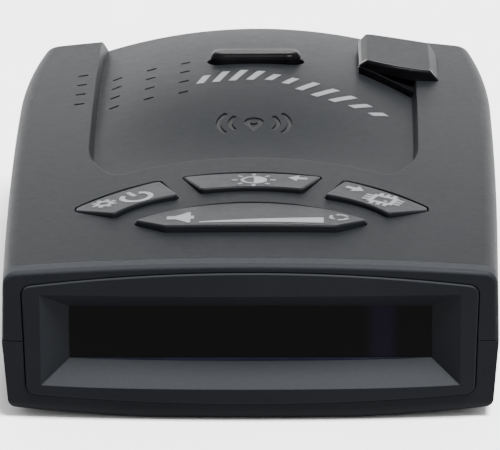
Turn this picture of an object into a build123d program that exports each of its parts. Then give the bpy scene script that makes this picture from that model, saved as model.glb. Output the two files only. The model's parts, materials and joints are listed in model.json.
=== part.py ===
from build123d import *
from math import cos, radians, sin, sqrt, tan
import os

# Windscreen radar detector. +Z is up, the display looks along -Y and the radar horn along +Y.
# The origin is at the middle of the underside, which stands on z = 0. All sizes are in mm.

# ---- driving dimensions ----
FRONT_Y = -55.0
BACK_Y = 55.0
FRONT_CORNER = (36.1, -53.5)  # where the bowed front meets the side
SIDE_TOP = (37.7, 22.0)  # widest point of the plan
BACK_CORNER = (35.1, 53.7)
CORNER_ROUND = 3.2
SEAM_Z = 12.1  # parting line between the two shells
WALL = 2.0
ROOF_THICK = 3.2
TOP_Z = 28.1  # highest line of the roof, across y = TOP_Y
TOP_Y = 35.0
ROOF_BOW = 1023.0  # radius of the roof along the body
ROOF_CROWN = 341.0  # radius of the roof across the body
ROOF_HALF = 45.0
ROOF_STATIONS = (-65.0, -35.0, -5.0, 25.0, 65.0)
BLOCK_BASE = 8.0
FLOOR_CROWN = 400.0  # radius of the underside across the body
FLOOR_SINK = 0.3  # how far the underside's crown is cut flat
UPPER_DRAFT = 1.5  # degrees the walls draw in above the seam
LOWER_DRAFT = 4.0  # degrees the walls draw in below it
LIP_DEPTH = 3.0  # depth of the black front lip
GAP = 0.15  # gap between fixed cosmetic parts
KEY_GAP = 0.25  # gap round a moving key
KEY_TILT = 5.4  # degrees a key's top is tipped up towards the display side
RIM_Z = 27.5  # level at which the valley outline is drawn
VALLEY_FLOOR_Z = 23.6
BOARD_Z = 17.0  # underside of the main board
BOARD_THICK = 1.2
BOARD_TOP = BOARD_Z + BOARD_THICK


def sag(radius, x):
    """Drop of a circular arc of this radius at distance x from its crest."""
    return radius - sqrt(radius**2 - x**2)


def label_and_write(part, name):
    """Name a finished piece and write it as one STEP file."""
    part.label = name
    export_step(part, "parts/" + name + ".step")


def slab(low, high, mode=Mode.ADD):
    """Box between two opposite corners, in the part being built."""
    size = [b - a for a, b in zip(low, high)]
    with Locations(tuple((a + b) / 2 for a, b in zip(low, high))):
        Box(*size, mode=mode)


def post(place, z_low, z_high, radius, mode=Mode.ADD):
    """Upright cylinder, in the part being built."""
    with Locations((place[0], place[1], (z_low + z_high) / 2)):
        Cylinder(radius, z_high - z_low, mode=mode)


def cross_recess(place, z_low, z_high, reach, half):
    """Cross-shaped recess in a screw head: two bars this long and wide from the middle."""
    x, y = place
    slab((x - reach, y - half, z_low), (x + reach, y + half, z_high), mode=Mode.SUBTRACT)
    slab((x - half, y - reach, z_low), (x + half, y + reach, z_high), mode=Mode.SUBTRACT)


def near(edges, low, high):
    """Edges whose two ends and middle all lie in the box from low to high."""
    def inside(edge):
        points = [edge @ 0, edge @ 0.5, edge @ 1]
        return all(low[i] < tuple(p)[i] < high[i] for p in points for i in range(3))
    return [edge for edge in edges if inside(edge)]


# ---- forms of the housing ----
def plan_face(inset, z):
    """Plan outline of the housing at height z, moved inwards by inset."""
    front = (FRONT_CORNER[0] - inset, FRONT_CORNER[1] + inset)
    widest = (SIDE_TOP[0] - inset, SIDE_TOP[1])
    back = (BACK_CORNER[0] - inset, BACK_CORNER[1] - inset)
    with BuildSketch(Plane.XY.offset(z)) as plan:
        with BuildLine():
            ThreePointArc((-front[0], front[1]), (0, FRONT_Y + inset), front)
            side = ThreePointArc(front, (37.25 - inset, -15.0), widest)
            rear = ThreePointArc(widest, (36.9 - inset, 39.5), back)
            mirror((side, rear), about=Plane.YZ)
            ThreePointArc(back, (0, BACK_Y - inset), (-back[0], back[1]))
        make_face()
        fillet(plan.vertices().sort_by(Axis.Y)[-2:], max(CORNER_ROUND - inset, 0.8))
    return plan.sketch


def draft_block(inset, z, height, draft):
    """The plan outline carried from z through height, drawing in by draft degrees."""
    lean = abs(height) * tan(radians(draft))
    with BuildPart() as block:
        add(plan_face(inset, z))
        add(plan_face(inset + lean, z + height))
        loft(ruled=True)
    return block.part


def arched_block(sections, half):
    """Closed solid under arches at several y; each has a middle height and an edge height."""
    with BuildPart() as block:
        for y, middle, edge in sections:
            with BuildSketch(Plane.XZ.offset(-y)):
                with BuildLine():
                    ThreePointArc((-half, edge), (0, middle), (half, edge))
                    Polyline((half, edge), (half, BLOCK_BASE), (-half, BLOCK_BASE), (-half, edge))
                make_face()
        loft()
    return block.part


def roof_block(inset):
    """All the space under the roof: crowned across, bowed along, lowered by inset."""
    sections = []
    for y in ROOF_STATIONS:
        middle = TOP_Z - sag(ROOF_BOW, y - TOP_Y) - inset
        sections.append((y, middle, middle - sag(ROOF_CROWN, ROOF_HALF)))
    return arched_block(sections, ROOF_HALF)


def valley_cut():
    """The valley in the roof as a cutter: open at the back, with sloping walls."""
    with BuildPart() as cut:
        with BuildSketch(Plane.XY.offset(RIM_Z)) as rim:
            with BuildLine():
                ThreePointArc((-20.7, -19.4), (0, -12.2), (20.7, -19.4))
                corner = ThreePointArc((20.7, -19.4), (24.6, -12.5), (25.9, -5.0))
                side = Line(corner @ 1, (25.9, 62))
                mirror((corner, side), about=Plane.YZ)
                Line((25.9, 62), (-25.9, 62))
            make_face()
            fillet(rim.vertices().sort_by(Axis.Y)[:2], 2.5)
        extrude(amount=-(RIM_Z - VALLEY_FLOOR_Z), taper=26)
        extrude(rim.sketch, amount=10)
    return cut.part


# y, height on the centre line and height at x = DOME_HALF of the domed valley floor
DOME_HALF = 27.0
DOME_SECTIONS = [
    (-22.0, 25.5, 23.9),
    (-12.0, 26.0, 24.2),
    (0.0, 27.3, 24.5),
    (12.0, 29.1, 24.6),
    (26.0, 30.0, 24.7),
    (40.0, 29.7, 24.5),
    (54.0, 28.6, 24.1),
    (62.0, 27.7, 23.8),
]


def dome_block(inset):
    """Everything under the domed floor of the valley, lowered by inset."""
    return arched_block([(y, middle - inset, edge - inset) for y, middle, edge in DOME_SECTIONS], DOME_HALF)


def upper_form():
    """The housing above the seam as a closed solid."""
    with BuildPart() as form:
        add(draft_block(0, SEAM_Z, 22, UPPER_DRAFT))
        add(roof_block(0), mode=Mode.INTERSECT)
        fillet(near(form.edges(), (-40, -53.35, 18), (40, 56, 40)), 2.2)
        fillet(near(form.edges(), (-40, -56, 18), (40, -52.9, 40)), 0.9)
        add(valley_cut(), mode=Mode.SUBTRACT)
        add(floor_fill())
    return form.part


def floor_fill():
    """The domed floor, trimmed to the plan of the housing."""
    with BuildPart() as fill:
        add(draft_block(0, SEAM_Z, 22, UPPER_DRAFT))
        add(dome_block(0), mode=Mode.INTERSECT)
    return fill.part


def upper_cavity():
    """The hollow above the seam: a plain roof, with a pocket up into the dome."""
    with BuildPart() as pocket:
        slab((-21.5, -8, SEAM_Z + 2), (21.5, 52.2, 40))
        add(dome_block(WALL), mode=Mode.INTERSECT)
    with BuildPart() as cavity:
        add(draft_block(WALL, SEAM_Z - 1, 23, UPPER_DRAFT))
        add(roof_block(ROOF_THICK), mode=Mode.INTERSECT)
        add(pocket.part)
    return cavity.part


def underside_block(inset):
    """All the space above the underside: gently crowned, with a flat middle."""
    half = 60.0
    crest = inset - FLOOR_SINK
    with BuildPart() as block:
        with BuildSketch(Plane.XZ.offset(-60)):
            with BuildLine():
                edge = crest + sag(FLOOR_CROWN, half)
                ThreePointArc((-half, edge), (0, crest), (half, edge))
                Polyline((half, edge), (half, 40), (-half, 40), (-half, edge))
            make_face()
            with Locations((0, inset - 10)):
                Rectangle(200, 20, mode=Mode.SUBTRACT)
        extrude(amount=120)
    return block.part


def lower_form():
    """The housing below the seam as a closed solid."""
    with BuildPart() as form:
        add(draft_block(0, SEAM_Z, -14, LOWER_DRAFT))
        add(underside_block(0), mode=Mode.INTERSECT)
        fillet(near(form.edges(), (-40, -56, -1), (40, 56, 6)), 2.0)
    return form.part


def lower_cavity():
    """The hollow below the seam."""
    with BuildPart() as cavity:
        add(draft_block(WALL, SEAM_Z + 1, -15, LOWER_DRAFT))
        add(underside_block(WALL), mode=Mode.INTERSECT)
    return cavity.part


def front_block(depth):
    """All the space in front of the bowed surface that lies this far behind the front face."""
    reach = FRONT_CORNER[0]
    middle = FRONT_Y + depth
    edge = FRONT_CORNER[1] + depth
    with BuildPart() as block:
        with BuildSketch(Plane.XY.offset(-5)):
            with BuildLine():
                ThreePointArc((-reach, edge), (0, middle), (reach, edge))
                Polyline((reach, edge), (45, edge + 0.7), (45, -80))
                Polyline((45, -80), (-45, -80), (-45, edge + 0.7), (-reach, edge))
            make_face()
        extrude(amount=45)
    return block.part


def opening_face(shrink, y):
    """Outline of the hole in the front that the bezel fills, reduced by shrink."""
    with BuildSketch(Plane.XZ.offset(-y)) as opening:
        with BuildLine():
            ThreePointArc((-33.3, 20.6), (0, 23.1), (33.3, 20.6))
            Line((33.3, 20.6), (32.8, 3.9))
            ThreePointArc((32.8, 3.9), (0, 2.7), (-32.8, 3.9))
            Line((-32.8, 3.9), (-33.3, 20.6))
        make_face()
        fillet(opening.vertices(), 1.6)
        if shrink:
            offset(amount=-shrink)
    return opening.sketch


OUTER_UPPER = upper_form()
UPPER_CAVITY = upper_cavity()
OUTER_LOWER = lower_form()
LOWER_CAVITY = lower_cavity()
LIP_BLOCK = front_block(LIP_DEPTH)

# ---- keys: outlines in plan, each row on arcs ----
KEY_ROUND = 0.6
FLANGE_THICK = 0.8
FLANGE_WIDE = 0.9
SWITCH_TOP = BOARD_TOP + 1.2
PLUNGER_TOP = 20.2
PLUNGER_R = 1.0


def brightness_key_outline():
    """Middle key of the upper row."""
    ThreePointArc((-10.5, -20.1), (0, -18.4), (10.5, -20.1))
    Line((10.5, -20.1), (7.5, -27.1))
    ThreePointArc((7.5, -27.1), (0, -26.1), (-7.5, -27.1))
    Line((-7.5, -27.1), (-10.5, -20.1))


def volume_key_outline():
    """Long key nearest the display."""
    ThreePointArc((-17.2, -38.5), (0, -30.8), (17.2, -38.5))
    Line((17.2, -38.5), (12.6, -41.9))
    ThreePointArc((12.6, -41.9), (0, -42.3), (-12.6, -41.9))
    Line((-12.6, -41.9), (-17.2, -38.5))


def side_key_outline(side):
    """Outer key of the upper row; side is -1 on the left and 1 on the right."""
    ThreePointArc((side * 26.1, -30.4), (side * 20.2, -24.9), (side * 13.9, -21.2))
    Line((side * 13.9, -21.2), (side * 10.9, -29.1))
    ThreePointArc((side * 10.9, -29.1), (side * 15.9, -31.3), (side * 20.2, -35.5))
    Line((side * 20.2, -35.5), (side * 26.1, -31.9))
    Line((side * 26.1, -31.9), (side * 26.1, -30.4))


def power_key_outline():
    """Left key of the upper row."""
    side_key_outline(-1)


def city_key_outline():
    """Right key of the upper row."""
    side_key_outline(1)


# name: outline, top of the flange under the roof, centre of its switch
KEYS = {
    "power": (power_key_outline, 21.6, (-18.6, -28.4)),
    "brightness": (brightness_key_outline, 22.7, (0.0, -22.8)),
    "city": (city_key_outline, 21.6, (18.6, -28.4)),
    "volume": (volume_key_outline, 21.6, (0.0, -37.0)),
}
# far edge of each key, level with the roof: its left end and its direction
FAR_EDGES = {
    "power": ((-26.1, -30.4), (12.2, 9.2)),
    "brightness": ((0.0, -19.2), (1.0, 0.0)),
    "city": ((13.9, -21.2), (12.2, -9.2)),
    "volume": ((0.0, -31.4), (1.0, 0.0)),
}


def key_face(name, grow, z):
    with BuildSketch(Plane.XY.offset(z)) as face:
        with BuildLine():
            KEYS[name][0]()
        make_face()
        fillet(face.vertices(), KEY_ROUND)
        if grow:
            offset(amount=grow)
    return face.sketch


def tipped_roof(name):
    """The space under the roof, tipped up towards the display about one key's far edge."""
    (x, y), (along_x, along_y) = FAR_EDGES[name]
    height = TOP_Z - sag(ROOF_BOW, y - TOP_Y) - sag(ROOF_CROWN, x)
    far_edge = Axis((x, y, height), (along_x, along_y, 0))
    return roof_block(0).rotate(far_edge, -KEY_TILT)


def key_cap(name):
    """Key cap with a tipped top, a flange that keeps it in and a foot."""
    flange_top, centre = KEYS[name][1:]
    with BuildPart() as key:
        add(key_face(name, 0, flange_top))
        extrude(amount=8)
        add(tipped_roof(name), mode=Mode.INTERSECT)
        fillet(near(key.edges(), (-40, -60, flange_top + 1), (40, 0, 40)), 0.3)
        add(key_face(name, FLANGE_WIDE, flange_top - FLANGE_THICK))
        extrude(amount=FLANGE_THICK)
        if flange_top - FLANGE_THICK > PLUNGER_TOP:
            post(centre, PLUNGER_TOP, flange_top, 1.4)
    return key.part


# ---- fittings whose places several parts share ----
CASE_SCREWS = [(x, y) for x in (-30.5, 30.5) for y in (-36.0, 44.0)]
BOARD_SCREWS = [(x, y) for x in (-24.0, 24.0) for y in (-40.0, 6.0)]
CASE_SHANK_R = 1.0
CASE_HEAD_R = 2.0
COUNTERBORE = 6.0  # depth of the recess over each case screw
BOARD_SHANK_R = 0.8
BOARD_HEAD_R = 1.8
POST_TOP = 12.6  # where the screw posts meet the cover's bosses
SLOT_XS = (-27.8, -22.3, -16.8, -11.3)
SLOT_YS = (17.1, 22.2, 27.3, 32.4)
SLOT_SIZE = (1.7, 0.65)
SLOT_TURN = 12
SPEAKER_AT = (-19.5, 24.7)
BUTTON_AT = (0.0, 31.2)
BUTTON_SIZE = (14.4, 4.2)
BUTTON_TOP = 31.4
JACK_AT = (24.0, 17.4)  # x and z
JACK_R = 3.2
USB_AT = (18.0, 7.0)  # y and z
IR_LOW = (-26.0, 15.7)  # x and z of the forward laser window
IR_HIGH = (-14.0, 21.3)
TONGUE_HALF = 9.4  # half width of the bracket's tongue slot
TONGUE_LOW = 23.0
TONGUE_HIGH = 26.2
RF_BOARD_Z = 5.6  # underside of the radar board
RF_POSTS = [(-13.0, 2.0), (13.0, 2.0)]
VENT_Y = -28.0
VENT_XS = [-12 + 4 * i for i in range(7)]
LABEL_LOW = (-14.0, 4.0)
LABEL_HIGH = (14.0, 34.0)
LABEL_THICK = 0.3
BEZEL_BACK = -50.9
WINDOW_Y = -49.5  # back of the display window

# ---- hood over the rearward laser lens ----
HOOD_BAND = 1.1  # depth of the hood's black front band
HOOD_SIDE_BAND = 0.5  # thickness of its black left side
HOOD_LEFT = 16.5
HOOD_RIGHT = 29.4
SILL = [(16.5, 31.4), (16.5, 29.9), (24.6, 24.6), (26.5, 24.6), (26.5, 30.0)]
SILL_EDGE = [(16.5, 31.0), (16.5, 29.9), (24.6, 24.6), (26.5, 24.6), (26.5, 25.2), (24.8, 25.2)]
SILL_THICK = 0.6  # height of the glossy sill in front of the lens above the dome
SILL_RIM = 1.1  # height of its raised edge


def hood_plan(setback):
    """Space behind the hood's bowed front and beside its left wall, moved in by setback."""
    left = HOOD_LEFT + min(setback, HOOD_SIDE_BAND)
    with BuildPart() as space:
        with BuildSketch(Plane.XY.offset(20)):
            with BuildLine():
                front = ThreePointArc(
                    (left, 30.6 + setback), (23.5, 28.7 + setback), (HOOD_RIGHT, 29.6 + setback)
                )
                Polyline(front @ 1, (HOOD_RIGHT, 46), (left, 46), front @ 0)
            make_face()
        extrude(amount=14)
    return space.part


def hood_form():
    """Hood with its cavity, standing on the roof."""
    with BuildPart() as hood:
        with BuildSketch(Plane.XZ.offset(-26)):
            with BuildLine():
                Polyline(
                    (HOOD_LEFT, 23), (HOOD_LEFT, 29.1), (17.9, 30.2), (22.5, 29.5),
                    (28.0, 28.6), (HOOD_RIGHT, 26.8), (HOOD_RIGHT, 23), (HOOD_LEFT, 23),
                )
            make_face()
        extrude(amount=-22)
        add(hood_plan(0), mode=Mode.INTERSECT)
        fillet(hood.edges().filter_by(Axis.Z).sort_by(Axis.Y)[-2:], 2.5)
        fillet(near(hood.edges(), (16, 27, 26.5), (30, 47, 31)), 0.45)
        with BuildSketch(Plane.XZ.offset(-26)):
            with BuildLine():
                Polyline((17.4, 20), (17.4, 28.7), (21.5, 28.0), (26.2, 26.9), (26.2, 20), (17.4, 20))
            make_face()
        extrude(amount=-13, mode=Mode.SUBTRACT)
        add(OUTER_UPPER, mode=Mode.SUBTRACT)
    return hood.part


def dome_skin(points, thick):
    """Skin of this thickness on the dome, over a plan outline given as points."""
    with BuildPart() as skin:
        with BuildSketch(Plane.XY.offset(20)):
            with BuildLine():
                Polyline(*points, points[0])
            make_face()
        extrude(amount=14)
        add(dome_block(-thick), mode=Mode.INTERSECT)
        add(OUTER_UPPER, mode=Mode.SUBTRACT)
    return skin.part


def slot_faces(z):
    """Speaker slots, short slanting dashes in columns and rows."""
    with BuildSketch(Plane.XY.offset(z)) as slots:
        with Locations(*[(x, y) for x in SLOT_XS for y in SLOT_YS]):
            SlotOverall(SLOT_SIZE[0], SLOT_SIZE[1], rotation=SLOT_TURN)
    return slots.sketch


def locator_mark():
    """Generic location mark: a map pin between two pairs of arcs."""
    with BuildSketch(Plane.XY.offset(24)) as mark:
        with Locations((0, 3.9)):
            Circle(1.5)
            Circle(0.6, mode=Mode.SUBTRACT)
        with BuildLine():
            Polyline((-1.2, 3.0), (0, 0.6), (1.2, 3.0), (0.5, 3.35), (-0.5, 3.35), (-1.2, 3.0))
        make_face()
        for side in (-1, 1):
            for radius in (3.4, 5.2):
                with BuildLine():
                    start, end = radius, radius + 0.7
                    low, high = radians(-38), radians(38)
                    inner = ThreePointArc(
                        (side * start * cos(low), 3.6 + start * sin(low)),
                        (side * start, 3.6),
                        (side * start * cos(high), 3.6 + start * sin(high)),
                    )
                    outer = ThreePointArc(
                        (side * end * cos(high), 3.6 + end * sin(high)),
                        (side * end, 3.6),
                        (side * end * cos(low), 3.6 + end * sin(low)),
                    )
                    Line(inner @ 1, outer @ 0)
                    Line(outer @ 1, inner @ 0)
                make_face()
    return mark.sketch


def screw_boss(place):
    """Boss that hangs from the roof and takes one case screw."""
    with BuildPart() as boss:
        post(place, POST_TOP, 32, 2.6)
        add(roof_block(ROOF_THICK / 2), mode=Mode.INTERSECT)
    return boss.part


MARK_DEPTH = 0.3

os.makedirs("parts", exist_ok=True)

# ---- cutters and ribs that follow the housing's forms ----
with BuildPart() as mark_cut:
    add(locator_mark())
    extrude(amount=8)
    add(dome_block(MARK_DEPTH), mode=Mode.SUBTRACT)

with BuildPart() as tongue_ring:
    with BuildSketch(Plane.XY.offset(SEAM_Z - 3)):
        add(plan_face(WALL / 2, 0))
        add(plan_face(WALL + 0.9, 0), mode=Mode.SUBTRACT)
    extrude(amount=2.9)
    with BuildSketch(Plane.XY.offset(SEAM_Z - 3)):
        add(plan_face(WALL + 0.1, 0))
        add(plan_face(WALL + 0.9, 0), mode=Mode.SUBTRACT)
    extrude(amount=4.4)
    slab((-40, -60, 0), (40, -50.2, 20), mode=Mode.SUBTRACT)

with BuildPart() as front_opening:
    add(opening_face(0, -50.3))
    extrude(amount=8, dir=(0, -1, 0))

# ---- outer shells ----
with BuildPart() as top_cover:
    add(OUTER_UPPER)
    add(UPPER_CAVITY, mode=Mode.SUBTRACT)
    add(LIP_BLOCK, mode=Mode.SUBTRACT)
    for place in CASE_SCREWS:
        add(screw_boss(place))
    for place in CASE_SCREWS:
        post(place, POST_TOP - 1, POST_TOP + 7, CASE_SHANK_R, mode=Mode.SUBTRACT)
    for name in KEYS:
        add(key_face(name, KEY_GAP, 20))
        extrude(amount=12, mode=Mode.SUBTRACT)
    add(slot_faces(20))
    extrude(amount=12, mode=Mode.SUBTRACT)
    with BuildSketch(Plane.XY.offset(24)):
        with Locations(BUTTON_AT):
            SlotOverall(BUTTON_SIZE[0] + 1.2, BUTTON_SIZE[1] + 0.5)
    extrude(amount=9, mode=Mode.SUBTRACT)
    slab((-TONGUE_HALF, 50, TONGUE_LOW), (TONGUE_HALF, 58, TONGUE_HIGH), mode=Mode.SUBTRACT)
    slab((IR_LOW[0], 50, IR_LOW[1]), (IR_HIGH[0], 58, IR_HIGH[1]), mode=Mode.SUBTRACT)
    with BuildSketch(Plane.XZ.offset(-60)):
        with Locations(JACK_AT):
            Circle(JACK_R)
    extrude(amount=10, mode=Mode.SUBTRACT)
    slab((19.6, 36.5, 22), (21.6, 38.5, 30), mode=Mode.SUBTRACT)
    add(mark_cut.part, mode=Mode.SUBTRACT)
label_and_write(top_cover.part, "top_cover")

with BuildPart() as front_trim:
    add(OUTER_UPPER)
    add(LIP_BLOCK, mode=Mode.INTERSECT)
    add(front_opening.part, mode=Mode.SUBTRACT)
    slab((-40, -60, 8), (40, -50, SEAM_Z + GAP), mode=Mode.SUBTRACT)
label_and_write(front_trim.part, "front_trim")

with BuildPart() as bottom_case:
    add(OUTER_LOWER)
    add(LOWER_CAVITY, mode=Mode.SUBTRACT)
    add(tongue_ring.part)
    add(front_opening.part, mode=Mode.SUBTRACT)
    for place in CASE_SCREWS:
        post(place, 1, POST_TOP, 3.2)
        post(place, -1, POST_TOP + 1, CASE_SHANK_R + 0.15, mode=Mode.SUBTRACT)
        post(place, -1, COUNTERBORE, CASE_HEAD_R + 0.3, mode=Mode.SUBTRACT)
    for place in BOARD_SCREWS:
        post(place, 1, BOARD_Z, 2.2)
        post(place, 10, BOARD_Z + 1, BOARD_SHANK_R, mode=Mode.SUBTRACT)
    for place in RF_POSTS:
        post(place, 1, RF_BOARD_Z, 1.8)
    with BuildSketch(Plane.XY.offset(-1)):
        with Locations(*[(x, VENT_Y) for x in VENT_XS]):
            SlotOverall(12, 1.4, rotation=90)
    extrude(amount=5, mode=Mode.SUBTRACT)
    slab((30, USB_AT[0] - 4.1, USB_AT[1] - 2.2), (40, USB_AT[0] + 4.1, USB_AT[1] + 2.2), mode=Mode.SUBTRACT)
    slab((LABEL_LOW[0], LABEL_LOW[1], -1), (LABEL_HIGH[0], LABEL_HIGH[1], LABEL_THICK), mode=Mode.SUBTRACT)
label_and_write(bottom_case.part, "bottom_case")

# ---- display ----
with BuildPart() as display_bezel:
    add(opening_face(GAP, -52.2))
    extrude(amount=6, dir=(0, -1, 0))
    add(opening_face(GAP + 2.2, BEZEL_BACK))
    extrude(amount=3, dir=(0, -1, 0))
    add(front_block(0), mode=Mode.SUBTRACT)
    fillet(near(display_bezel.edges(), (-40, -56, 0), (40, -53.0, 30)), 0.3)
    with BuildSketch(Plane.XZ.offset(56)):
        with BuildLine():
            ThreePointArc((-33.4, 21.2), (0, 20.1), (33.4, 21.2))
            Line((33.4, 21.2), (33.4, 3.2))
            ThreePointArc((33.4, 3.2), (0, 4.4), (-33.4, 3.2))
            Line((-33.4, 3.2), (-33.4, 21.2))
        make_face()
    with BuildSketch(Plane.XZ.offset(-BEZEL_BACK + 0.1)):
        with BuildLine():
            Polyline((-26.4, 8.7), (-26.4, 16.7), (26.4, 16.7), (26.4, 8.7))
            ThreePointArc((26.4, 8.7), (0, 8.2), (-26.4, 8.7))
        make_face()
    loft(ruled=True, mode=Mode.SUBTRACT)
    slab((-26.4, -52, 8.7), (26.4, -50, 16.7), mode=Mode.SUBTRACT)
label_and_write(display_bezel.part, "display_bezel")

with BuildPart() as display_window:
    slab((-28.4, BEZEL_BACK, 6.6), (28.4, WINDOW_Y, 18.4))
    chamfer(display_window.edges().filter_by(Axis.X), 0.2)
label_and_write(display_window.part, "display_window")

with BuildPart() as window_gasket:
    slab((-28.4, WINDOW_Y, 6.6), (28.4, WINDOW_Y + 0.8, 18.4))
    slab((-26.6, WINDOW_Y - 1, 8.2), (26.6, WINDOW_Y + 2, 17.2), mode=Mode.SUBTRACT)
label_and_write(window_gasket.part, "window_gasket")

with BuildPart() as oled_panel:
    slab((-28.0, WINDOW_Y + 0.8, 5.4), (28.0, WINDOW_Y + 2.6, 18.4))
    fillet(oled_panel.edges().filter_by(Axis.Y), 0.4)
label_and_write(oled_panel.part, "oled_panel")

with BuildPart() as display_board:
    slab((-29.5, WINDOW_Y + 2.6, 4.6), (29.5, WINDOW_Y + 3.6, 17.6))
    for x in (-28, 28):
        with BuildSketch(Plane.XZ.offset(60)):
            with Locations((x, 16.2)):
                Circle(0.8)
        extrude(amount=-30, mode=Mode.SUBTRACT)
label_and_write(display_board.part, "display_board")

with BuildPart() as display_flex:
    with BuildSketch(Plane.YZ.offset(-9)):
        with BuildLine():
            FilletPolyline(
                (WINDOW_Y + 3.75, 8), (WINDOW_Y + 7, 8),
                (WINDOW_Y + 7, BOARD_Z - 0.3), (WINDOW_Y + 11, BOARD_Z - 0.3),
                radius=1.2,
            )
            offset(amount=0.12, side=Side.BOTH)
        make_face()
    extrude(amount=18)
label_and_write(display_flex.part, "display_flex")

# ---- main board and what it carries ----
with BuildPart() as main_board:
    slab((-31.5, -44.5, BOARD_Z), (31.5, 12.0, BOARD_TOP))
    fillet(main_board.edges().filter_by(Axis.Z), 1.0)
    for place in CASE_SCREWS:
        post(place, BOARD_Z - 1, BOARD_TOP + 1, 3.6, mode=Mode.SUBTRACT)
    for place in BOARD_SCREWS:
        post(place, BOARD_Z - 1, BOARD_TOP + 1, BOARD_SHANK_R + 0.2, mode=Mode.SUBTRACT)
label_and_write(main_board.part, "main_board")

with BuildPart() as board_chips:
    slab((-7, -17.5, BOARD_TOP), (3, -8, BOARD_TOP + 1.4))
    slab((14, -14, BOARD_TOP), (21, -7, BOARD_TOP + 1.2))
    slab((-22, -12, BOARD_TOP), (-14, -7, BOARD_TOP + 1.2))
    for x in (-28.5, -26, 26, 28.5):
        post((x, -16), BOARD_TOP, BOARD_TOP + 2.6, 1.0)
label_and_write(board_chips.part, "board_chips")

with BuildPart() as key_switches:
    for name in KEYS:
        x, y = KEYS[name][2]
        slab((x - 2.2, y - 2.2, BOARD_TOP), (x + 2.2, y + 2.2, SWITCH_TOP))
        post((x, y), BOARD_TOP + 0.2, SWITCH_TOP + 1, PLUNGER_R + 0.05, mode=Mode.SUBTRACT)
label_and_write(key_switches.part, "key_switches")

for name in KEYS:
    with BuildPart() as key:
        add(key_cap(name))
    label_and_write(key.part, "key_" + name)
    with BuildPart() as plunger:
        post(KEYS[name][2], BOARD_TOP + 0.7, PLUNGER_TOP, PLUNGER_R)
        chamfer(plunger.edges().filter_by(GeomType.CIRCLE).sort_by(Axis.Z)[0], 0.2)
    label_and_write(plunger.part, "switch_plunger_" + name)

with BuildPart() as gps_board:
    slab((-9.5, -7, BOARD_TOP), (9.5, 11.5, BOARD_TOP + 0.8))
label_and_write(gps_board.part, "gps_board")

with BuildPart() as gps_patch:
    slab((-8, -5.5, BOARD_TOP + 0.8), (8, 10.5, BOARD_TOP + 4.2))
    chamfer(gps_patch.edges().filter_by(Axis.Z), 1.0)
    post((1.2, 2.5), BOARD_TOP + 4.2, BOARD_TOP + 4.4, 1.0)
label_and_write(gps_patch.part, "gps_patch")

with BuildPart() as board_screws:
    for place in BOARD_SCREWS:
        post(place, BOARD_TOP, BOARD_TOP + 1.2, BOARD_HEAD_R)
        post(place, 12, BOARD_TOP, BOARD_SHANK_R)
        cross_recess(place, BOARD_TOP + 0.6, BOARD_TOP + 2, 1.2, 0.2)
label_and_write(board_screws.part, "board_screws")

with BuildPart() as case_screws:
    for place in CASE_SCREWS:
        post(place, COUNTERBORE - 1.4, COUNTERBORE, CASE_HEAD_R)
        post(place, COUNTERBORE, POST_TOP + 6, CASE_SHANK_R)
        cross_recess(place, 0, COUNTERBORE - 0.7, 1.3, 0.25)
label_and_write(case_screws.part, "case_screws")

# ---- speaker under the slots ----
SPEAKER_R = 9.0
SPEAKER_LOW = 14.6

with BuildPart() as speaker_frame:
    post(SPEAKER_AT, SPEAKER_LOW + 2.6, SPEAKER_LOW + 6.6, SPEAKER_R)
    post(SPEAKER_AT, SPEAKER_LOW + 3.4, SPEAKER_LOW + 7, SPEAKER_R - 0.8, mode=Mode.SUBTRACT)
    post(SPEAKER_AT, SPEAKER_LOW + 2, SPEAKER_LOW + 7, 3.0, mode=Mode.SUBTRACT)
label_and_write(speaker_frame.part, "speaker_frame")

with BuildPart() as speaker_magnet:
    post(SPEAKER_AT, SPEAKER_LOW, SPEAKER_LOW + 2.6, 5.6)
    post(SPEAKER_AT, SPEAKER_LOW + 2.6, SPEAKER_LOW + 3.4, 2.9)
label_and_write(speaker_magnet.part, "speaker_magnet")

with BuildPart() as speaker_cone:
    with BuildSketch(Plane.XZ.offset(-SPEAKER_AT[1])):
        with BuildLine():
            x, z = SPEAKER_AT[0], SPEAKER_LOW + 6.4
            Polyline((x, z - 0.8), (x + 3.2, z - 1.6), (x + 7.0, z - 0.2), (x + 8.1, z - 0.2))
            Polyline((x + 8.1, z - 0.2), (x + 8.1, z), (x + 6.9, z), (x + 3.2, z - 1.35))
            Polyline((x + 3.2, z - 1.35), (x, z - 0.55), (x, z - 0.8))
        make_face()
    revolve(axis=Axis((SPEAKER_AT[0], SPEAKER_AT[1], 0), (0, 0, 1)))
label_and_write(speaker_cone.part, "speaker_cone")

with BuildPart() as speaker_gasket:
    post(SPEAKER_AT, SPEAKER_LOW + 6.6, SPEAKER_LOW + 7.6, SPEAKER_R)
    post(SPEAKER_AT, SPEAKER_LOW + 6, SPEAKER_LOW + 8, SPEAKER_R - 1.4, mode=Mode.SUBTRACT)
label_and_write(speaker_gasket.part, "speaker_gasket")

# ---- radar front end ----
with BuildPart() as horn_antenna:
    for y, half, low, high in ((51.0, 20.0, 3.2, 14.4), (24.0, 8.0, 5.4, 12.4)):
        with BuildSketch(Plane.XZ.offset(-y)):
            with Locations((0, (low + high) / 2)):
                Rectangle(2 * half, high - low)
    loft(ruled=True)
    slab((-8, 15, 5.4), (8, 24, 12.4))
    for y, half, low, high in ((51.1, 19.0, 4.2, 13.4), (24.0, 6.5, 6.9, 10.9)):
        with BuildSketch(Plane.XZ.offset(-y)):
            with Locations((0, (low + high) / 2)):
                Rectangle(2 * half, high - low)
    loft(ruled=True, mode=Mode.SUBTRACT)
    slab((-6.5, 17, 6.9), (6.5, 24, 10.9), mode=Mode.SUBTRACT)
label_and_write(horn_antenna.part, "horn_antenna")

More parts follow.
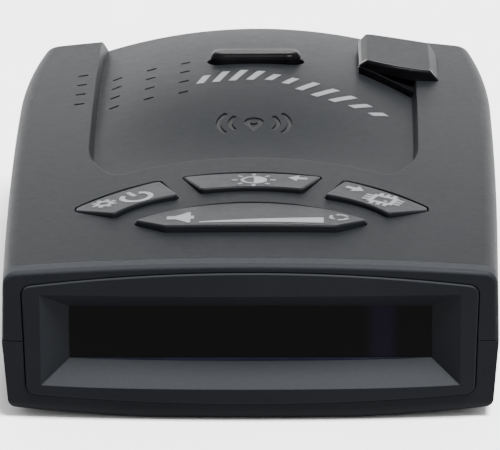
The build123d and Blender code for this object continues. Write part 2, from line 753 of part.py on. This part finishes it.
with BuildPart() as rf_board:
    slab((-17, -10, RF_BOARD_Z), (17, 14, RF_BOARD_Z + 1))
label_and_write(rf_board.part, "rf_board")

with BuildPart() as rf_shield:
    slab((-15, -8.5, RF_BOARD_Z + 1), (15, 12.5, RF_BOARD_Z + 6))
    fillet(rf_shield.faces().sort_by(Axis.Z)[-1].edges(), 0.6)
    slab((-14.6, -8.1, RF_BOARD_Z), (14.6, 12.1, RF_BOARD_Z + 5.6), mode=Mode.SUBTRACT)
label_and_write(rf_shield.part, "rf_shield")

# ---- laser receivers ----
with BuildPart() as forward_laser_window:
    slab((IR_LOW[0] + 0.1, 50, IR_LOW[1] + 0.1), (IR_HIGH[0] - 0.1, 56, IR_HIGH[1] - 0.1))
    add(draft_block(0.25, SEAM_Z, 22, UPPER_DRAFT), mode=Mode.INTERSECT)
    slab((IR_LOW[0] - 1, 50, IR_LOW[1] - 1), (IR_HIGH[0] + 1, 51.4, IR_HIGH[1] + 1))
    slab((IR_LOW[0] - 2, 48, IR_LOW[1] - 2), (IR_HIGH[0] + 2, 50.4, IR_HIGH[1] + 2), mode=Mode.SUBTRACT)
label_and_write(forward_laser_window.part, "forward_laser_window")

with BuildPart() as forward_laser_sensor:
    slab((-23, 45.0, 15.3), (-17, 48.6, 21.3))
    with BuildSketch(Plane.XZ.offset(-48.6)):
        with Locations((-20, 18.3)):
            Circle(2.2)
    extrude(amount=-1.0)
label_and_write(forward_laser_sensor.part, "forward_laser_sensor")

HOOD = hood_form()
HOOD_BACK = hood_plan(HOOD_BAND)

with BuildPart() as laser_hood:
    add(HOOD)
    add(HOOD_BACK, mode=Mode.INTERSECT)
label_and_write(laser_hood.part, "laser_hood")

with BuildPart() as hood_trim:
    add(HOOD)
    add(HOOD_BACK, mode=Mode.SUBTRACT)
    add(dome_skin(SILL, SILL_THICK))
    add(dome_skin(SILL_EDGE, SILL_RIM))
label_and_write(hood_trim.part, "hood_trim")

with BuildPart() as rear_laser_lens:
    with BuildSketch(Plane.XZ.offset(-32)):
        with BuildLine():
            Polyline((17.5, 22), (17.5, 28.55), (21.5, 27.85), (26.1, 26.75), (26.1, 22), (17.5, 22))
        make_face()
    extrude(amount=-1.6)
    add(OUTER_UPPER, mode=Mode.SUBTRACT)
label_and_write(rear_laser_lens.part, "rear_laser_lens")

with BuildPart() as rear_laser_sensor:
    slab((18.6, 34.0, 24.0), (22.6, 38.2, 27.6))
    add(dome_block(0), mode=Mode.SUBTRACT)
    slab((19.8, 36.7, 24.5), (21.4, 38.2, 27.2))
label_and_write(rear_laser_sensor.part, "rear_laser_sensor")

# ---- bracket lock ----
BUTTON_FOOT_LOW = 20.4
SPRING_LOW = 16.6

with BuildPart() as release_button:
    with BuildSketch(Plane.XY.offset(27.0)):
        with Locations(BUTTON_AT):
            SlotOverall(*BUTTON_SIZE)
    extrude(amount=BUTTON_TOP - 27.0)
    fillet(release_button.faces().sort_by(Axis.Z)[-1].edges(), 0.9)
    slab((-7.9, 28.6, 26.0), (7.9, 33.8, 27.0))
    slab((-5, 29.4, BUTTON_FOOT_LOW), (5, 33.0, 26.0))
    slab((-5, 29.4, BUTTON_FOOT_LOW), (5, 42.0, BUTTON_FOOT_LOW + 1.2))
    slab((-3, 39.6, BUTTON_FOOT_LOW), (3, 41.8, TONGUE_LOW + 1.2))
label_and_write(release_button.part, "release_button")

with BuildPart() as bracket_guide:
    slab((-12, 35.0, TONGUE_LOW - 1), (12, 52.8, TONGUE_LOW))
    for side in (-1, 1):
        slab((side * 10.7 - 1.3, 35.0, TONGUE_LOW - 1), (side * 10.7 + 1.3, 52.8, 30))
        slab((side * 9.0 - 0.6, 27.0, SPRING_LOW - 1), (side * 9.0 + 0.6, 35.0, 30))
        slab((side * 10.2 - 1.8, 33.8, TONGUE_LOW - 1), (side * 10.2 + 1.8, 35.4, 30))
    slab((-9.6, 27.0, SPRING_LOW - 1), (9.6, 35.0, SPRING_LOW))
    slab((-3.4, 39.0, 20), (3.4, 42.4, 24), mode=Mode.SUBTRACT)
    post(BUTTON_AT, SPRING_LOW, SPRING_LOW + 1.2, 0.9)
    add(UPPER_CAVITY, mode=Mode.INTERSECT)
label_and_write(bracket_guide.part, "bracket_guide")

with BuildPart() as release_spring:
    turns = Helix(pitch=0.95, height=BUTTON_FOOT_LOW - SPRING_LOW - 0.5, radius=1.7)
    with BuildSketch(Plane(turns @ 0, z_dir=turns % 0)):
        Circle(0.22)
    sweep(path=turns, is_frenet=True)
spring_place = Location((BUTTON_AT[0], BUTTON_AT[1], SPRING_LOW + 0.25))
label_and_write(release_spring.part.moved(spring_place), "release_spring")

# ---- sockets, label ----
with BuildPart() as power_jack:
    slab((JACK_AT[0] - 3.6, 43.0, JACK_AT[1] - 3.6), (JACK_AT[0] + 3.6, 51.4, JACK_AT[1] + 3.6))
    with BuildSketch(Plane.XZ.offset(-54.0)):
        with Locations(JACK_AT):
            Circle(JACK_R - 0.1)
    extrude(amount=3)
    with BuildSketch(Plane.XZ.offset(-54.5)):
        with Locations(JACK_AT):
            Circle(1.95)
            Circle(0.55, mode=Mode.SUBTRACT)
    extrude(amount=10, mode=Mode.SUBTRACT)
label_and_write(power_jack.part, "power_jack")

with BuildPart() as usb_port:
    y, z = USB_AT
    slab((28.0, y - 3.9, z - 2.0), (36.4, y + 3.9, z + 2.0))
    fillet(usb_port.edges().filter_by(Axis.X), 0.5)
    slab((30.0, y - 3.4, z - 1.5), (38.0, y + 3.4, z + 1.5), mode=Mode.SUBTRACT)
    slab((29.5, y - 2.6, z - 0.4), (35.4, y + 2.6, z + 0.4))
label_and_write(usb_port.part, "usb_port")

with BuildPart() as rating_label:
    low, high = LABEL_LOW, LABEL_HIGH
    slab((low[0] + 0.2, low[1] + 0.2, 0.1), (high[0] - 0.2, high[1] - 0.2, LABEL_THICK))
    fillet(rating_label.edges().filter_by(Axis.Z), 1.0)
label_and_write(rating_label.part, "rating_label")
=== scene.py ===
import json
from math import cos, pi, radians, sin

import bmesh
import bpy
from mathutils import Matrix, Vector
from mathutils.bvhtree import BVHTree


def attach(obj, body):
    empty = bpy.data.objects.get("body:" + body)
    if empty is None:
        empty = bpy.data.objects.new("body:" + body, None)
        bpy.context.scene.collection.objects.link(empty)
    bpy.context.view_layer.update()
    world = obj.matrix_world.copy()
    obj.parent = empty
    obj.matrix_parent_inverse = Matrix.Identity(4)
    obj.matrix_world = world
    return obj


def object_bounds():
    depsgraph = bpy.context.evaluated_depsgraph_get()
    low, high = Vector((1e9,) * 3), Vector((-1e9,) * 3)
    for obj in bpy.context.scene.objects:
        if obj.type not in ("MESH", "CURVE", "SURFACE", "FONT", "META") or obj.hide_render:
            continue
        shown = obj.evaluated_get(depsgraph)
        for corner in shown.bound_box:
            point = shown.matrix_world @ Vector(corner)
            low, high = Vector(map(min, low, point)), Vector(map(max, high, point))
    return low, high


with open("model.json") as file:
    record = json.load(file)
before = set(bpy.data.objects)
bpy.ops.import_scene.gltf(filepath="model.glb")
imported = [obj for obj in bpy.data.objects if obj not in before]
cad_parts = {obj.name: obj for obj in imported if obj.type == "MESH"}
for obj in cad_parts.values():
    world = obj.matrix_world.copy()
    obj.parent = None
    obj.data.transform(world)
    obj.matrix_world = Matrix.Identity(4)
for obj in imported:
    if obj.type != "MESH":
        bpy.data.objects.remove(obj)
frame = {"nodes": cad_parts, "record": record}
cad_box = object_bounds()
nodes = frame["nodes"]
MM = 0.001
TOP = cad_box[1].z  # highest point of the object

CAMERA_PLACE = (0.00887, -0.71432, 0.24716)
CAMERA_TURN = -0.764  # degrees
CAMERA_TILT = 18.2  # degrees below level
CAMERA_ROLL = -0.305  # degrees
SENSOR_WIDTH = 36
LENS_PER_WIDTH = 9.66  # focal length over sensor width

LIGHT_FROM = (0.25, -0.3, 1.0)
LIGHT_STRENGTH = 13.0
LIGHT_SPREAD = 25  # degrees
SKY_STRENGTH = 1.0

EDGE_RADIUS = 0.00025  # rounding shown on sharp moulded edges
INK_DEPTH = 0.02  # mm of a printed symbol that lies under the surface


# ---------------------------------------------------------------- camera, lights, floor
def add_camera():
    """The photograph's view: from the display side, a little above, with a long lens."""
    turn, down, roll = radians(CAMERA_TURN), radians(CAMERA_TILT), radians(CAMERA_ROLL)
    forward = Vector((sin(turn) * cos(down), cos(turn) * cos(down), -sin(down)))
    right = Vector((cos(turn), -sin(turn), 0))
    up = right.cross(forward)
    rolled_right = right * cos(roll) + up * sin(roll)
    rolled_up = up * cos(roll) - right * sin(roll)
    data = bpy.data.cameras.new("camera")
    data.sensor_width = SENSOR_WIDTH
    data.lens = SENSOR_WIDTH * LENS_PER_WIDTH
    data.clip_start = 0.05
    camera = bpy.data.objects.new("camera", data)
    bpy.context.scene.collection.objects.link(camera)
    axes = Matrix((rolled_right, rolled_up, -forward)).transposed().to_4x4()
    camera.matrix_world = Matrix.Translation(CAMERA_PLACE) @ axes
    bpy.context.scene.camera = camera


def add_sun(name, source, strength, spread):
    """Soft parallel light from the direction of source, over spread degrees."""
    data = bpy.data.lights.new(name, "SUN")
    data.energy = strength
    data.angle = radians(spread)
    light = bpy.data.objects.new(name, data)
    bpy.context.scene.collection.objects.link(light)
    light.rotation_euler = (-Vector(source)).to_track_quat("-Z", "Y").to_euler()


def add_stage():
    """A pale sweep: flat floor that curls up far behind the object."""
    mesh = bpy.data.meshes.new("floor")
    bm = bmesh.new()
    reach, front, back, radius, wall = 2.0, -1.6, 1.2, 0.6, 1.6
    gap_below = 0.00002
    steps = 12
    profile = [(front, 0.0), (back, 0.0)]
    for i in range(1, steps + 1):
        a = i / steps * pi / 2
        profile.append((back + radius * sin(a), radius - radius * cos(a)))
    profile.append((back + radius, wall))
    rows = []
    for y, z in profile:
        rows.append([bm.verts.new((x, y, z - gap_below)) for x in (-reach, reach)])
    for a, b in zip(rows, rows[1:]):
        bm.faces.new((a[0], a[1], b[1], b[0]))
    bm.to_mesh(mesh)
    bm.free()
    for face in mesh.polygons:
        face.use_smooth = True
    floor = bpy.data.objects.new("floor", mesh)
    bpy.context.scene.collection.objects.link(floor)
    floor.data.materials.append(paper_material())


# ---------------------------------------------------------------- materials
def new_material(name):
    material = bpy.data.materials.new(name)
    material.use_nodes = True
    tree = material.node_tree
    return material, tree, tree.nodes["Principled BSDF"]


def wire(tree, a, out, b, into):
    tree.links.new(a.outputs[out], b.inputs[into])


def noise(tree, scale, detail=2.0, rough=0.5):
    """Noise texture in the piece's own space."""
    node = tree.nodes.new("ShaderNodeTexNoise")
    node.inputs["Scale"].default_value = scale
    node.inputs["Detail"].default_value = detail
    node.inputs["Roughness"].default_value = rough
    where = tree.nodes.new("ShaderNodeTexCoord")
    wire(tree, where, "Object", node, "Vector")
    return node


def ramp(tree, source, out, low, high, at=(0.3, 0.7)):
    """Colour ramp between two colours, or two grey levels."""
    node = tree.nodes.new("ShaderNodeValToRGB")
    ends = node.color_ramp.elements
    for end, value, place in zip(ends, (low, high), at):
        colour = (value,) * 3 if isinstance(value, (int, float)) else value
        end.color = (*colour, 1)
        end.position = place
    wire(tree, source, out, node, "Fac")
    return node


def soft_edge(tree, radius):
    """Rounded look along sharp moulded edges."""
    node = tree.nodes.new("ShaderNodeBevel")
    node.samples = 4
    node.inputs["Radius"].default_value = radius
    return node


def add_bump(tree, shader, source, out, height, strength=1.0, before=None):
    """Bump from a texture, on top of an earlier normal where there is one."""
    node = tree.nodes.new("ShaderNodeBump")
    node.inputs["Distance"].default_value = height
    node.inputs["Strength"].default_value = strength
    wire(tree, source, out, node, "Height")
    if before:
        wire(tree, before, "Normal", node, "Normal")
    wire(tree, node, "Normal", shader, "Normal")
    return node


def moulded(name, low, high, roughness, grain, depth, specular=0.5):
    """Moulded or soft-touch plastic: fine grain, slow colour drift, uneven gloss."""
    material, tree, shader = new_material(name)
    drift = noise(tree, 45, 3)
    wire(tree, ramp(tree, drift, "Fac", low, high), "Color", shader, "Base Color")
    smear = noise(tree, 700, 3, 0.6)
    wire(tree, ramp(tree, smear, "Fac", roughness - 0.012, roughness + 0.02), "Color", shader, "Roughness")
    fine = noise(tree, grain, 2)
    first = add_bump(tree, shader, fine, "Fac", depth, 0.6, soft_edge(tree, EDGE_RADIUS))
    coarse = noise(tree, grain * 0.35, 2)
    add_bump(tree, shader, coarse, "Fac", depth * 1.4, 0.35, first)
    shader.inputs["Specular IOR Level"].default_value = specular
    return material


def paint_light_by_facing(material, lit_top_colour, lit_side_colour):
    """Painted light: brightens the upward faces of a moulded material, where the overhead light falls, and a
    little those that face +X, the side it comes from.
    """
    tree = material.node_tree
    shader = tree.nodes["Principled BSDF"]
    plain = shader.inputs["Base Color"].links[0].from_node
    surface = tree.nodes.new("ShaderNodeNewGeometry")
    split = tree.nodes.new("ShaderNodeSeparateXYZ")
    wire(tree, surface, "True Normal", split, "Vector")
    # painted light: the more a face turns up, and toward +X, the brighter its colour
    for axis, colour in (("Z", lit_top_colour), ("X", lit_side_colour)):
        lit_share = tree.nodes.new("ShaderNodeMapRange")
        lit_share.inputs["From Min"].default_value = 0.25
        lit_share.inputs["From Max"].default_value = 0.75
        wire(tree, split, axis, lit_share, "Value")
        lit_mix = tree.nodes.new("ShaderNodeMixRGB")
        lit_mix.inputs["Color2"].default_value = (*colour, 1)
        wire(tree, lit_share, "Result", lit_mix, "Fac")
        wire(tree, plain, "Color", lit_mix, "Color1")
        plain = lit_mix
    wire(tree, plain, "Color", shader, "Base Color")


def polished(name, colour, roughness, specular=0.5, coat=0.6):
    """Glossy plastic or smoked glass: faint haze and very shallow waviness."""
    material, tree, shader = new_material(name)
    haze = noise(tree, 140, 4, 0.6)
    tint = tuple(min(1, c * 1.8 + 0.002) for c in colour)
    wire(tree, ramp(tree, haze, "Fac", colour, tint), "Color", shader, "Base Color")
    wire(tree, ramp(tree, haze, "Fac", roughness, roughness + 0.05), "Color", shader, "Roughness")
    wave = noise(tree, 60, 1)
    add_bump(tree, shader, wave, "Fac", 0.00002, 0.15)
    shader.inputs["Specular IOR Level"].default_value = specular
    shader.inputs["Coat Weight"].default_value = coat
    shader.inputs["Coat Roughness"].default_value = 0.05
    return material


def metal(name, low, high, roughness, stretch=(1, 1, 1)):
    """Machined or cast metal with fine scratches along one way."""
    material, tree, shader = new_material(name)
    where = tree.nodes.new("ShaderNodeTexCoord")
    squeeze = tree.nodes.new("ShaderNodeMapping")
    squeeze.inputs["Scale"].default_value = stretch
    wire(tree, where, "Object", squeeze, "Vector")
    grain = tree.nodes.new("ShaderNodeTexNoise")
    grain.inputs["Scale"].default_value = 900
    grain.inputs["Detail"].default_value = 3
    wire(tree, squeeze, "Vector", grain, "Vector")
    wire(tree, ramp(tree, grain, "Fac", low, high), "Color", shader, "Base Color")
    wire(tree, ramp(tree, grain, "Fac", roughness - 0.08, roughness + 0.1), "Color", shader, "Roughness")
    add_bump(tree, shader, grain, "Fac", 0.00002, 0.4)
    shader.inputs["Metallic"].default_value = 1.0
    return material


def paper_material():
    """Pale matt paper for the floor."""
    material, tree, shader = new_material("paper")
    fibre = noise(tree, 30, 4)
    wire(tree, ramp(tree, fibre, "Fac", 0.86, 0.9), "Color", shader, "Base Color")
    shader.inputs["Roughness"].default_value = 0.8
    shader.inputs["Specular IOR Level"].default_value = 0.2
    return material


def window_material():
    """Smoked display window, with a painted violet reflection in an upright band across its face."""
    reflection_x, reflection_core, reflection_edge = 0.0192, 0.0006, 0.0028
    smoke, violet = (0.0008, 0.0008, 0.0009), (0.0026, 0.0018, 0.005)
    material, tree, shader = new_material("smoked_window")
    where = tree.nodes.new("ShaderNodeTexCoord")
    split = tree.nodes.new("ShaderNodeSeparateXYZ")
    wire(tree, where, "Object", split, "Vector")
    offset = tree.nodes.new("ShaderNodeMath")
    offset.operation = "SUBTRACT"
    wire(tree, split, "X", offset, 0)
    offset.inputs[1].default_value = reflection_x
    distance = tree.nodes.new("ShaderNodeMath")
    distance.operation = "ABSOLUTE"
    wire(tree, offset, "Value", distance, 0)
    spread = tree.nodes.new("ShaderNodeMapRange")
    spread.interpolation_type = "SMOOTHSTEP"
    spread.inputs["From Min"].default_value = reflection_core
    spread.inputs["From Max"].default_value = reflection_edge
    spread.inputs["To Min"].default_value = 1.0
    spread.inputs["To Max"].default_value = 0.0
    wire(tree, distance, "Value", spread, "Value")
    # Painted reflection: violet near reflection_x, fading to the smoked colour further out.
    wire(tree, ramp(tree, spread, "Result", smoke, violet, (0, 1)), "Color", shader, "Base Color")
    haze = noise(tree, 200, 3)
    wire(tree, ramp(tree, haze, "Fac", 0.06, 0.1), "Color", shader, "Roughness")
    shader.inputs["Specular IOR Level"].default_value = 0.02
    return material


MATERIALS = {
    "soft_grey": moulded(
        "soft_grey", (0.0053, 0.006, 0.0071), (0.0056, 0.0063, 0.0074), 0.5, 5200, 0.00003, specular=0.06
    ),
    "key_grey": moulded(
        "key_grey", (0.0046, 0.0052, 0.0062), (0.005, 0.0056, 0.0066), 0.42, 5200, 0.00003, specular=0.06
    ),
    "satin_black": moulded(
        "satin_black", (0.0034, 0.0038, 0.0047), (0.0046, 0.005, 0.006), 0.5, 4200, 0.00006, specular=0.03
    ),
    "gloss_black": polished("gloss_black", (0.0012, 0.0012, 0.0015), 0.16, 0.02, 0.0),
    "window_glass": window_material(),
    "panel_glass": polished("panel_glass", (0.006, 0.006, 0.01), 0.1),
    "foam": moulded("foam", (0.012, 0.012, 0.012), (0.02, 0.02, 0.02), 0.85, 2500, 0.0001, specular=0.2),
    "circuit_board": polished("circuit_board", (0.006, 0.06, 0.022), 0.3, 0.5, 0.2),
    "flex_film": polished("flex_film", (0.4, 0.17, 0.03), 0.25, 0.5, 0.2),
    "chip_plastic": moulded("chip_plastic", (0.012, 0.012, 0.013), (0.018, 0.018, 0.019), 0.5, 5000, 0.00003),
    "switch_plastic": moulded("switch_plastic", (0.02, 0.02, 0.02), (0.03, 0.03, 0.03), 0.45, 4000, 0.00003),
    "ceramic": moulded("ceramic", (0.45, 0.34, 0.2), (0.52, 0.4, 0.25), 0.55, 3000, 0.00003),
    "steel": metal("steel", 0.32, 0.5, 0.32, (1, 1, 0.2)),
    "tinplate": metal("tinplate", 0.5, 0.66, 0.25, (0.2, 1, 1)),
    "die_cast": metal("die_cast", 0.42, 0.56, 0.45),
    "cone_film": moulded("cone_film", (0.03, 0.03, 0.032), (0.045, 0.045, 0.048), 0.5, 1500, 0.00005),
    "label_film": moulded("label_film", (0.2, 0.2, 0.21), (0.24, 0.24, 0.25), 0.42, 1800, 0.00001),
}
PRINT = moulded("light_print", (0.085, 0.09, 0.094), (0.105, 0.11, 0.114), 0.5, 4000, 0.00002)
# Painted glow: violet colour on a thin sheet, not a lamp.
PAINTED_GLOW = polished("painted_violet_glow", (0.0035, 0.0033, 0.008), 0.4, 0.02, 0.0)
MARK_INLAY = polished("mark_inlay", (0.0016, 0.0018, 0.0022), 0.35, 0.1, 0.05)
# Painted light on satin black: upward and +X faces get brighter colours that stand in for the overhead light
# on them.
paint_light_by_facing(MATERIALS["satin_black"], (0.0165, 0.018, 0.02), (0.0078, 0.0086, 0.01))


def dress_cad_nodes():
    """Each CAD node takes the material of its slot in the record."""
    slots = {row["node"]: row["material_slot"] for row in frame["record"]["subparts"]}
    for name, node in nodes.items():
        node.data.materials.clear()
        node.data.materials.append(MATERIALS[slots[name]])


# ---------------------------------------------------------------- printed symbols
def turned(points, angle, place):
    """Flat points turned by angle degrees about their origin, then moved to place."""
    a = radians(angle)
    return [(place[0] + x * cos(a) - y * sin(a), place[1] + x * sin(a) + y * cos(a)) for x, y in points]


def disc(radius, place=(0, 0), start=0.0, end=360.0, steps=20):
    """Disc, or the part of one between two angles."""
    whole = end - start >= 360
    count = steps if whole else steps + 1
    angles = [radians(start + (end - start) * i / steps) for i in range(count)]
    return [[(place[0] + radius * cos(a), place[1] + radius * sin(a)) for a in angles]]


def arc_band(inner, outer, start, end, place=(0, 0), steps=14):
    """Curved band as a run of four-sided pieces."""
    pieces = []
    for i in range(steps):
        a, b = (radians(start + (end - start) * (i + k) / steps) for k in (0, 1))
        corners = ((inner, a), (outer, a), (outer, b), (inner, b))
        pieces.append([(place[0] + r * cos(t), place[1] + r * sin(t)) for r, t in corners])
    return pieces


def bar(x0, y0, x1, y1):
    """Upright rectangle between two corners."""
    return [[(x0, y0), (x1, y0), (x1, y1), (x0, y1)]]


def placed(pieces, angle, place):
    """Several outlines turned and moved together."""
    return [turned(piece, angle, place) for piece in pieces]


def height_finder(node):
    """Function that gives the height of a CAD node's upper surface over a point."""
    above = TOP + 0.01
    mesh = nodes[node].data
    tree = BVHTree.FromPolygons([v.co for v in mesh.vertices], [p.vertices for p in mesh.polygons])

    def find(x, y):
        hit = tree.ray_cast(Vector((x, y, above)), Vector((0, 0, -1)))[0]
        return hit.z if hit else None
    return find


def print_on(name, pieces, node, body, material, proud=0.05, longest=0.5):
    """Thin ink or inlay whose flat outline, in mm, is laid down onto a CAD node's surface."""
    find = height_finder(node)
    bm = bmesh.new()
    for piece in pieces:
        bm.faces.new([bm.verts.new((x * MM, y * MM, 0)) for x, y in piece])
    bmesh.ops.remove_doubles(bm, verts=bm.verts, dist=1e-6)
    bmesh.ops.triangulate(bm, faces=bm.faces)
    for _ in range(4):
        long_edges = [e for e in bm.edges if e.calc_length() > longest * MM]
        if long_edges:
            bmesh.ops.subdivide_edges(bm, edges=long_edges, cuts=1)
            bmesh.ops.triangulate(bm, faces=bm.faces)
    heights = [find(v.co.x, v.co.y) for v in bm.verts]
    spare = max(h for h in heights if h is not None)
    for vertex, height in zip(bm.verts, heights):
        vertex.co.z = (height if height is not None else spare) + proud * MM
    bmesh.ops.recalc_face_normals(bm, faces=bm.faces)
    if sum(face.normal.z for face in bm.faces) < 0:
        bmesh.ops.reverse_faces(bm, faces=bm.faces)
    mesh = bpy.data.meshes.new(name)
    bm.to_mesh(mesh)
    bm.free()
    piece = bpy.data.objects.new(name, mesh)
    bpy.context.scene.collection.objects.link(piece)
    mesh.materials.append(material)
    shell = piece.modifiers.new("thickness", "SOLIDIFY")
    shell.thickness = (proud + INK_DEPTH) * MM
    shell.offset = -1
    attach(piece, body)


def power_symbol():
    ring = arc_band(1.75, 2.6, 125, 415)
    stem = bar(-0.36, 0.6, 0.36, 3.1)
    return placed(ring + stem, 28, (-17.2, -28.5))


def gear_symbol():
    ring = arc_band(0.7, 1.35, 0, 360, steps=24)
    teeth = []
    for i in range(8):
        teeth += placed(bar(-0.3, 1.25, 0.3, 1.9), 45 * i + 10, (0, 0))
    return placed(ring + teeth, 20, (-22.0, -30.1))


def brightness_symbol():
    pieces = arc_band(1.5, 2.0, 90, 270) + disc(2.0, (0, 0), -90, 90)
    for i in range(8):
        pieces += placed(bar(-0.26, 2.45, 0.26, 3.3), 45 * i, (0, 0))
    return placed(pieces, 0, (0.25, -22.5))


def arrow_symbol(angle, place):
    head = [[(1.5, 0), (0.0, 1.6), (0.0, -1.6)]]
    return placed(head + bar(-1.4, -0.5, 0.0, 0.5), angle, place)


def chip_symbol():
    pieces = bar(-1.9, 1.15, 1.9, 1.95) + bar(-1.9, -1.95, 1.9, -1.15)
    pieces += bar(-1.9, -1.15, -1.25, 1.15) + bar(1.25, -1.15, 1.9, 1.15)
    for side in range(4):
        for shift in (-1.05, 0.0, 1.05):
            pieces += placed(bar(shift - 0.3, 1.93, shift + 0.3, 2.95), 90 * side, (0, 0))
    pieces += disc(0.3, (0.55, -0.5))
    return placed(pieces, -20, (19.6, -29.2))


def speaker_symbol():
    back = bar(-2.0, -0.75, -0.8, 0.75)
    cone = [[(-0.8, -0.75), (0.9, -2.3), (0.9, 2.3), (-0.8, 0.75)]]
    front = bar(0.9, -2.6, 1.5, 2.6) + bar(1.5, -0.8, 2.0, 0.8)
    return placed(back + cone + front, 0, (-10.4, -38.2))


def volume_wedge():
    return [[(-7.6, -40.8), (10.7, -40.8), (10.7, -38.15), (-7.6, -40.35)]]


def cycle_symbol():
    pieces = []
    for i in range(3):
        start = 120 * i + 20
        pieces += arc_band(1.0, 1.5, start, start + 70, steps=6)
        tip = start + 98
        corners = ((0.8, start + 70), (1.75, start + 70), (1.27, tip))
        pieces.append([(r * cos(radians(t)), r * sin(radians(t))) for r, t in corners])
    return placed(pieces, 0, (13.0, -37.8))


def signal_bars():
    """Generic printed mark: a rising run of slanting bars that follows an arch over the dome."""
    pieces = []
    count = 11
    for i in range(count):
        share = i / (count - 1)
        x = -8.2 + 27.6 * share
        y = 21.9 + 1.6 * sin(pi * min(1, share * 1.5)) - 10.5 * share**2
        tall = 1.1 + 1.5 * abs(sin(pi * (share * 1.9 + 0.15)))
        lean = 0.9
        half = 0.62
        slab = [(-half - lean * tall / 3, -tall), (half - lean * tall / 3, -tall)]
        slab += [(half + lean * tall / 3, tall), (-half + lean * tall / 3, tall)]
        pieces += placed([slab], -42 * share**1.5, (x, y))
    return pieces


def locator_inlay():
    pieces = arc_band(0.62, 1.42, 0, 360, (0, 3.9), 20)
    pieces += [[(-1.1, 2.95), (0, 0.75), (1.1, 2.95), (0.45, 2.65), (-0.45, 2.65)]]
    for radius in (3.4, 5.2):
        for middle in (0, 180):
            pieces += arc_band(radius + 0.06, radius + 0.64, middle - 37, middle + 37, (0, 3.6), 10)
    return pieces


def print_symbols():
    key_inks = {
        "power": power_symbol() + gear_symbol(),
        "brightness": brightness_symbol() + arrow_symbol(172, (6.9, -21.4)),
        "city": chip_symbol() + arrow_symbol(-28, (15.4, -25.0)),
        "volume": speaker_symbol() + volume_wedge() + cycle_symbol(),
    }
    for key, pieces in key_inks.items():
        node = "key_" + key
        print_on("print_" + key, pieces, node, node, PRINT)
    print_on("print_signal_bars", signal_bars(), "top_cover", "housing", PRINT)
    print_on("locator_inlay", locator_inlay(), "top_cover", "housing", MARK_INLAY, 0.12)


def flat_piece(name, rings, body, material):
    """Thin sheet from rows of points in mm, each row joined to the next."""
    bm = bmesh.new()
    rows = [[bm.verts.new(Vector(point) * MM) for point in ring] for ring in rings]
    for low, high in zip(rows, rows[1:]):
        for i in range(len(low) - 1):
            bm.faces.new((low[i], low[i + 1], high[i + 1], high[i]))
    mesh = bpy.data.meshes.new(name)
    bm.to_mesh(mesh)
    bm.free()
    piece = bpy.data.objects.new(name, mesh)
    bpy.context.scene.collection.objects.link(piece)
    mesh.materials.append(material)
    shell = piece.modifiers.new("thickness", "SOLIDIFY")
    shell.thickness = 0.03 * MM
    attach(piece, body)


def painted_panel_glow():
    """Painted light: a thin violet sheet along the foot of the window stands for the glow the lit panel
    leaves there, and gives off no light itself.
    """
    reach, opening_half = 24, 26.4
    foot_middle, foot_rise, top = 8.24, 0.46, 8.72
    least_height = 0.05
    y = -51.06
    low, high = [], []
    count = 40
    for i in range(count + 1):
        x = -reach + 2 * reach * i / count
        foot = foot_middle + foot_rise * (x / opening_half) ** 2
        low.append((x, y, foot))
        high.append((x, y, max(foot + least_height, top)))
    flat_piece("painted_panel_glow", [low, high], "housing", PAINTED_GLOW)


# ---------------------------------------------------------------- making
add_camera()
add_stage()
add_sun("overhead_light", LIGHT_FROM, LIGHT_STRENGTH, LIGHT_SPREAD)
world = bpy.data.worlds.new("studio")
world.use_nodes = True
world.node_tree.nodes["Background"].inputs["Color"].default_value = (1, 1, 1, 1)
world.node_tree.nodes["Background"].inputs["Strength"].default_value = SKY_STRENGTH
bpy.context.scene.world = world
dress_cad_nodes()
print_symbols()
painted_panel_glow()
